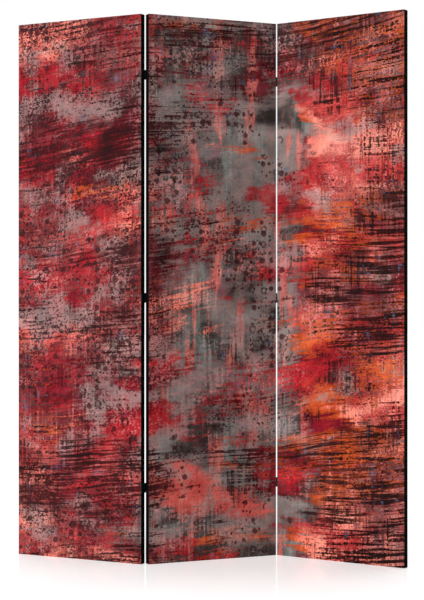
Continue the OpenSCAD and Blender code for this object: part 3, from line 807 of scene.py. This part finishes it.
def print_material():
    """Cotton canvas with an inkjet print: the ink sinks into the weave, so it is nearly matt,
    and the threads show as a fine even relief. The print looks like worn metal under many coats
    of paint. Ink of one colour covers it where the cloth turns round the frame."""
    material, add, cloth, weave = cloth_material("printed cotton canvas", CANVAS_PITCH)
    coats, drops = coat_group(), drop_group()
    at = add("SeparateXYZ", [cloth]).outputs
    height = add("Math", [at["Y"], PRINT_SHIFT], "ADD")
    flat = add("CombineXYZ", {"X": at["X"], "Y": height})

    # How far a point belongs to the left, middle and right panel
    wander = add("TexNoise", {"Vector": flat, "Scale": 4.5, "Detail": 3.0})
    across = add("Math", [wander, WANDER, at["X"]], "MULTIPLY_ADD")
    left = add("MapRange", {"Value": across, "From": LEFT_END})
    # The right panel's part starts past the fold: the middle's darker paint beside the fold is
    # partly painted shade of the fold
    right = add("MapRange", {"Value": across, "From": RIGHT_START})
    middle = add("Math", [1.0, left], "SUBTRACT")
    middle = add("Math", [middle, right], "SUBTRACT")
    side = add("CombineXYZ", {"X": left, "Y": middle, "Z": right})

    # The way the strokes run
    bend = add("TexNoise", {"Vector": flat, "Scale": 1.3, "Detail": 1.0})
    bend = add("MapRange", {"Value": bend, "From": (0.2, 0.8), "To": (-STROKE_BEND, STROKE_BEND)})
    bend = add("Math", [at["X"], -STROKE_RISE, bend], "MULTIPLY_ADD")
    bend = add("CombineXYZ", {"Y": bend})
    bent = add("VectorMath", [flat, bend], "ADD")

    # The marks, each from -1 to 1. They are faint where the paint was laid on smoothly, and
    # strong where it was dragged
    marks = []
    for length, width, seed in MARKS:
        sized = add("Mapping", {
            "Vector": bent, "Location": (seed, seed, seed),
            "Scale": (1 / (length * MM), 1 / (width * MM), 1.0)})
        cloud = add("TexNoise", {"Vector": sized, "Scale": 1.0, "Detail": 4.0, "Roughness": 0.7})
        marks.append(add("MapRange", {"Value": cloud, "From": (0.28, 0.72), "To": (-1, 1)}))
    marks = add("CombineXYZ", marks)
    rough = add("TexNoise", {"Vector": flat, "Scale": 2.6, "Detail": 2.0})
    rough = add("MapRange", {"Value": rough, "From": (0.38, 0.62), "To": (0.35, 1.8)})
    dragged = add("VectorMath", [side, DRAGGED], "DOT_PRODUCT")
    rough = add("Math", [rough, dragged], "MULTIPLY")
    marks = add("VectorMath", {0: marks, "Scale": rough}, "SCALE")
    mottle = add("TexNoise", {
        "Vector": bent, "Scale": 1 / (60 * MM), "Detail": 5.0, "Roughness": 0.6})
    mottle = add("MapRange", {"Value": mottle, "From": (0.36, 0.64)})

    paint = add("Mix", {0: mottle, 6: GROUND, 7: GROUND_LIGHT}, data_type="RGBA")
    for (thin, thick, cover, length, width, angle, seed, level, soft, torn, strokes, fill,
         more) in COATS:
        paint = add("Group", {
            "Under": paint, "Thin": thin, "Thick": thick, "Cover": cover, "Place": bent,
            "Side": side, "Marks": marks, "Mottle": mottle, "Angle": radians(angle),
            "Size": (length * MM, width * MM, 1.0), "Seed": (seed, seed, seed), "Level": level,
            "Soft": soft, "Torn": torn, "Strokes": strokes, "Fill": fill, "More": more},
            node_tree=coats)
    for colour, cover, spacing, seed, level, radius, hollow, torn, more in DROPS:
        paint = add("Group", {
            "Under": paint, "Drop": colour, "Cover": cover, "Place": flat, "Side": side,
            "Marks": marks, "Spacing": (spacing * MM, spacing * MM, 1.0),
            "Seed": (seed, seed, 0.0), "Level": level, "Radius": radius, "Hollow": hollow,
            "Torn": (0.0, 0.0, torn), "More": more}, node_tree=drops)

    # The marks that show in all of it, and the printer's tones
    faint = add("VectorMath", [marks, FAINT], "DOT_PRODUCT")
    faint = add("Math", [faint, 1.0], "ADD")
    tone = add("RGBToBW", [paint])
    for operation, value in (("DIVIDE", MIDDLE_TONE), ("POWER", TONE_POWER)):
        tone = add("Math", [tone, value], operation)
    faint = add("Math", [faint, tone], "MULTIPLY")
    printed = add("VectorMath", {0: paint, "Scale": faint}, "SCALE")
    turned = add("MapRange", {"Value": at["Z"], "From": (0.2 * MM, 0.6 * MM)})
    inked = add("Mix", {0: turned, 6: printed, 7: EDGE_INK}, data_type="RGBA")
    return dressed(material, inked, (mottle, 0, 1, 0.66, 0.76), (weave, 0.5, 0.12 * MM),
                   Specular_IOR_Level=0.1)


def edge_material():
    """The same canvas where it turns round the frame, under solid black ink: it drinks the
    light, and only the tops of the threads are a little greyer."""
    material, add, cloth, weave = cloth_material("black inked cotton canvas", CANVAS_PITCH)
    rubbed = add("TexNoise", {"Vector": cloth, "Scale": 1 / (35 * MM), "Detail": 4.0})
    worn = add("Math", [weave, rubbed], "MULTIPLY")
    worn = add("MapRange", {"Value": worn, "From": (0.15, 0.6)})
    ink = add("Mix", {0: worn, 6: EDGE_INK, 7: "#141314"}, data_type="RGBA")
    return dressed(material, ink, (rubbed, 0, 1, 0.85, 0.95), (weave, 0.5, 0.12 * MM),
                   Specular_IOR_Level=0.03)


def raw_canvas_material():
    """The back of the canvas, with no ink on it: cream cotton with darker flecks of seed husk and
    a plain weave.
    Its cream is lighter on the tops of the threads and darker in the hollows between them, which
    is painted shade of the weave, with some real unevenness of the yarn."""
    material, add, cloth, weave = cloth_material("raw cotton canvas", CANVAS_PITCH)
    # The cream follows the weave's height: painted shade in the hollows between the threads,
    # lighter tops
    tone = add("Mix", {0: weave, 6: "#B5A88D", 7: "#E0D6C0"}, data_type="RGBA")
    husk = add("TexNoise", {"Vector": cloth, "Scale": 1 / (4 * MM), "Detail": 3.0})
    fleck = add("MapRange", {"Value": husk, "From": (0.66, 0.72), "To": (0, 0.7)})
    cotton = add("Mix", {0: fleck, 6: tone, 7: "#7E6A4C"}, data_type="RGBA")
    return dressed(material, cotton, (husk, 0, 1, 0.85, 0.95), (weave, 0.6, 0.12 * MM),
                   Specular_IOR_Level=0.1)


def backing_material():
    """Black polyester cloth: a tight plain weave with a soft bloom where the light grazes it, a
    few paler threads, and lint. Its black is uneven in streaks and clouds of the dye, and is paler
    on the tops of the threads and darker in the hollows of the weave, which is painted shade."""
    material, add, cloth, weave = cloth_material("black polyester cloth", CLOTH_PITCH)
    threads = add("Mapping", {"Vector": cloth, "Scale": (1 / (160 * MM), 1 / (1.6 * MM), 1.0)})
    streak = add("TexNoise", {"Vector": threads, "Scale": 1.0, "Detail": 2.0})
    cloud = add("TexNoise", {"Vector": cloth, "Scale": 1 / (90 * MM), "Detail": 4.0})
    both = add("Math", [streak, cloud], "ADD")
    # The weave's height makes thread tops paler and hollows darker: painted shade, on top of the
    # dye's real streaks and clouds
    both = add("Math", [weave, 0.5, both], "MULTIPLY_ADD")
    pale = add("MapRange", {"Value": both, "From": (0.9, 1.6)})
    dye_and_weave_shade = add("Mix", {0: pale, 6: "#151517", 7: "#3A3A3E"}, data_type="RGBA")
    lint = add("TexNoise", {"Vector": cloth, "Scale": 1 / (2.5 * MM), "Detail": 4.0})
    speck = add("MapRange", {"Value": lint, "From": (0.72, 0.78), "To": (0, 0.4)})
    colour = add("Mix", {0: speck, 6: dye_and_weave_shade, 7: "#6A6A6C"}, data_type="RGBA")
    return dressed(material, colour, (cloud, 0, 1, 0.72, 0.84), (weave, 0.6, 0.1 * MM),
                   Specular_IOR_Level=0.2, Sheen_Weight=0.08, Sheen_Roughness=0.5)


def pine_material(name, turn):
    """Planed pine, unfinished: pale early wood and thin darker late wood in rings 3.5 mm apart,
    drawn out along the timber, with short fine fibres. The turn lays the timber along X."""
    material, add = new_material(name)
    at = add("TexCoord").outputs["Object"]
    laid = add("Mapping", {"Vector": at, "Rotation": turn})
    heart = add("Mapping", {
        "Vector": laid, "Location": (0.0, 0.052, 0.031), "Scale": (0.06, 1.0, 1.0)})
    rings = add("TexWave", {
        "Vector": heart, "Scale": pi / 10 / (3.5 * MM), "Distortion": 5.0, "Detail": 2.0,
        "Detail Scale": 0.25}, wave_type="RINGS", rings_direction="X", wave_profile="SAW")
    late = add("MapRange", {
        "Value": rings.outputs["Fac"], "From": (0.45, 0.95)}, interpolation_type="SMOOTHSTEP")
    wood = add("Mix", {0: late, 6: "#E2C592", 7: "#BE8C55"}, data_type="RGBA")
    drawn = add("Mapping", {
        "Vector": laid, "Scale": (1 / (30 * MM), 1 / (0.9 * MM), 1 / (0.9 * MM))})
    fibre = add("TexNoise", {"Vector": drawn, "Scale": 1.0, "Detail": 3.0})
    dark = add("MapRange", {"Value": fibre, "From": (0.55, 0.8), "To": (0, 0.5)})
    colour = add("Mix", {0: dark, 6: wood, 7: "#9A6A3C"}, data_type="RGBA")
    return dressed(material, colour, (fibre, 0, 1, 0.52, 0.72), (fibre, 0.4, 0.1 * MM))


def powder_coat_material():
    """Black powder coat on sheet steel, baked: an even black skin with a fine orange-peel
    relief, duller where it is rubbed. The relief is twice as coarse as the real one."""
    material, add = new_material("black powder coat on steel")
    at = add("TexCoord").outputs["Object"]
    peel = add("TexNoise", {"Vector": at, "Scale": 1 / (0.9 * MM), "Detail": 2.0})
    rub = add("TexNoise", {"Vector": at, "Scale": 1 / (5 * MM), "Detail": 4.0, "Roughness": 0.65})
    rubbed = add("MapRange", {"Value": rub, "From": (0.5, 0.75)})
    colour = add("Mix", {0: rubbed, 6: "#060607", 7: "#131315"}, data_type="RGBA")
    return dressed(material, colour, (rub, 0.3, 0.7, 0.40, 0.58), (peel, 0.35, 0.06 * MM),
                   Specular_IOR_Level=0.25)


def steel_material(name, dark, light, smoothest, roughest, grain):
    """Bare or plated steel: the tone and the gloss vary in cloudy spots a few millimetres
    across, with fine marks of the tool that made it, in mm along X, Y and Z."""
    material, add = new_material(name)
    at = add("TexCoord").outputs["Object"]
    cloud = add("TexNoise", {"Vector": at, "Scale": 1 / (3 * MM), "Detail": 3.0})
    drawn = add("Mapping", {"Vector": at, "Scale": [1 / (g * MM) for g in grain]})
    lines = add("TexNoise", {"Vector": drawn, "Scale": 1.0, "Detail": 2.0})
    both = add("Mix", {0: 0.5, 2: cloud, 3: lines})
    tone = add("MapRange", {"Value": both, "From": (0.35, 0.65)})
    colour = add("Mix", {0: tone, 6: dark, 7: light}, data_type="RGBA")
    return dressed(material, colour, (tone, 0, 1, roughest, smoothest),
                   (lines, 0.25, 0.03 * MM), Metallic=1.0)


# The floor, the light and the camera, in metres, watts and degrees

FLOOR_HALF, FLOOR_LIFT, FLOOR_FAR, FLOOR_NEAR, FLOOR_DULL = 30.0, 0.78, 0.02, 0.33, 0.12
# How open a point is to the room within this distance, from far off to under the screen
OPEN_WITHIN, OPEN_FAR, OPEN_NEAR = 1.2, 0.99, 0.6
ROOM_LIGHT, ROOM_SEEN = 0.38, 1.0
KEY_PLACE, KEY_AIM, KEY_SIZE, KEY_POWER = (-6.5, -2.3, 1.3), (0, 0, 0.86), 3.0, 290
# The camera was fitted to the panels' corners in the photograph
CAMERA_PLACE, CAMERA_TURN = (-2.2031, -4.5054, 0.8239), -23.875
LENS, SENSOR, SHIFT_X, SHIFT_Y = 94.356, 36, 0.1, 0.001


def floor():
    """A glossy white floor, lifted to the white of the backdrop for the camera alone. It
    mirrors much where the screen stands over it, and hardly anything far off."""
    mesh = bpy.data.meshes.new("floor")
    s = FLOOR_HALF
    mesh.from_pydata([(-s, -s, 0), (s, -s, 0), (s, s, 0), (-s, s, 0)], [], [(0, 1, 2, 3)])
    material, add = new_material("glossy white floor")
    matt = add("BsdfDiffuse", {"Color": "#F2F2F2"})
    seen = add("LightPath").outputs["Is Camera Ray"]
    lift = add("Math", [seen, FLOOR_LIFT], "MULTIPLY")
    glow = add("Emission", {"Strength": lift})
    lit = add("AddShader", [matt, glow])
    gloss = add("BsdfGlossy", {"Roughness": FLOOR_DULL})
    near = add("AmbientOcclusion", {"Distance": OPEN_WITHIN}, samples=8).outputs["AO"]
    share = add("MapRange", [near, OPEN_FAR, OPEN_NEAR, FLOOR_FAR, FLOOR_NEAR])
    both = add("MixShader", [share, lit, gloss])
    add("OutputMaterial", {"Surface": both})
    mesh.materials.append(material)
    new_object("floor", mesh)


def world():
    """A plain white room. What the camera, a mirror or glass sees of it is full white, and the
    light that it gives is softer."""
    made = bpy.data.worlds.new("studio")
    bpy.context.scene.world = made
    made.use_nodes = True
    made.node_tree.nodes.clear()
    add = partial(add_node, made.node_tree)
    path = add("LightPath").outputs
    seen = path["Is Camera Ray"]
    for ray in ("Is Glossy Ray", "Is Transmission Ray"):
        seen = add("Math", [seen, path[ray]], "MAXIMUM")
    light, white = [add("Background", {"Color": "#FFFFFF", "Strength": strength})
                    for strength in (ROOM_LIGHT, ROOM_SEEN)]
    both = add("MixShader", [seen, light, white])
    add("OutputWorld", {"Surface": both})


def key_light():
    """A large soft lamp at the left, that looks at the middle of the screen."""
    lamp = bpy.data.lights.new("key", "AREA")
    lamp.shape, lamp.size, lamp.size_y, lamp.energy = "RECTANGLE", KEY_SIZE, KEY_SIZE, KEY_POWER
    made = new_object("key", lamp)
    made.location, made.rotation_mode = KEY_PLACE, "QUATERNION"
    made.rotation_quaternion = (Vector(KEY_AIM) - Vector(KEY_PLACE)).to_track_quat("-Z", "Y")


def camera():
    data = bpy.data.cameras.new("camera")
    made = new_object("camera", data)
    made.location = CAMERA_PLACE
    made.rotation_euler = (radians(90), 0, radians(CAMERA_TURN))
    data.lens, data.sensor_width, data.shift_x, data.shift_y = LENS, SENSOR, SHIFT_X, SHIFT_Y
    bpy.context.scene.camera = made


def main():
    camera()
    floor()
    world()
    key_light()
    bpy.context.scene.view_settings.view_transform = "Standard"

    raw, backing = raw_canvas_material(), backing_material()
    cloths = (print_material(), raw, edge_material(), raw)
    timber = {"upright": pine_material("planed pine, upright", (0, radians(90), 0))}
    for side in PANELS:
        turn = (0, 0, -PLACES[side].to_euler().z)
        timber[side] = pine_material(f"planed pine, across the {side} panel", turn)
    hinge_paint = powder_coat_material()
    pin_steel = steel_material("blued pin steel", "#1B1B1F", "#3A3A40", 0.30, 0.46, (3, 3, 0.35))
    screw_steel = steel_material("black zinc plated screw steel", "#232326", "#48484C", 0.28,
                                 0.42, (1.2, 1.2, 1.2))
    wire = steel_material("galvanised steel wire", "#8E9094", "#C6C8CC", 0.28, 0.42,
                          (1.5, 1.5, 1.5))

    faces = canvas_faces()
    staple, rows = staple_shape(), staple_tree()
    for side in PANELS:
        sheet = canvas(side, faces, cloths)
        cloth = back_cloth(side, backing)
        made = staples(side, rows, staple, wire)
    for node, piece in frame["nodes"].items():
        if "stile" in node or "rail" in node or "cross" in node:
            piece.data.materials.clear()
            piece.data.materials.append(timber["upright" if "stile" in node
                                               else node.split("_")[0]])
        elif node.endswith(("leaf", "link")):
            hinge_piece(node, hinge_paint, LEAF_EDGE)
        elif node.endswith("pins"):
            hinge_piece(node, pin_steel, PIN_EDGE)
    screw, tree = screw_shape(), screw_tree()
    left, right = Matrix.Translation((-FOLD_X, 0, 0)), Matrix.Translation((FOLD_X, 0, 0))
    for side, seed, nodes in (
            ("left", 5, [("left_hinge_front_screws", PLACES["fold_left"] @ left, 1)]),
            ("middle", 15, [("left_hinge_back_screws", left, -1),
                            ("right_hinge_front_screws", right, 1)]),
            ("right", 25, [("right_hinge_back_screws", PLACES["fold_right"] @ right, -1)])):
        screw_row(side, tree, screw, screw_steel, seed, nodes)


main()
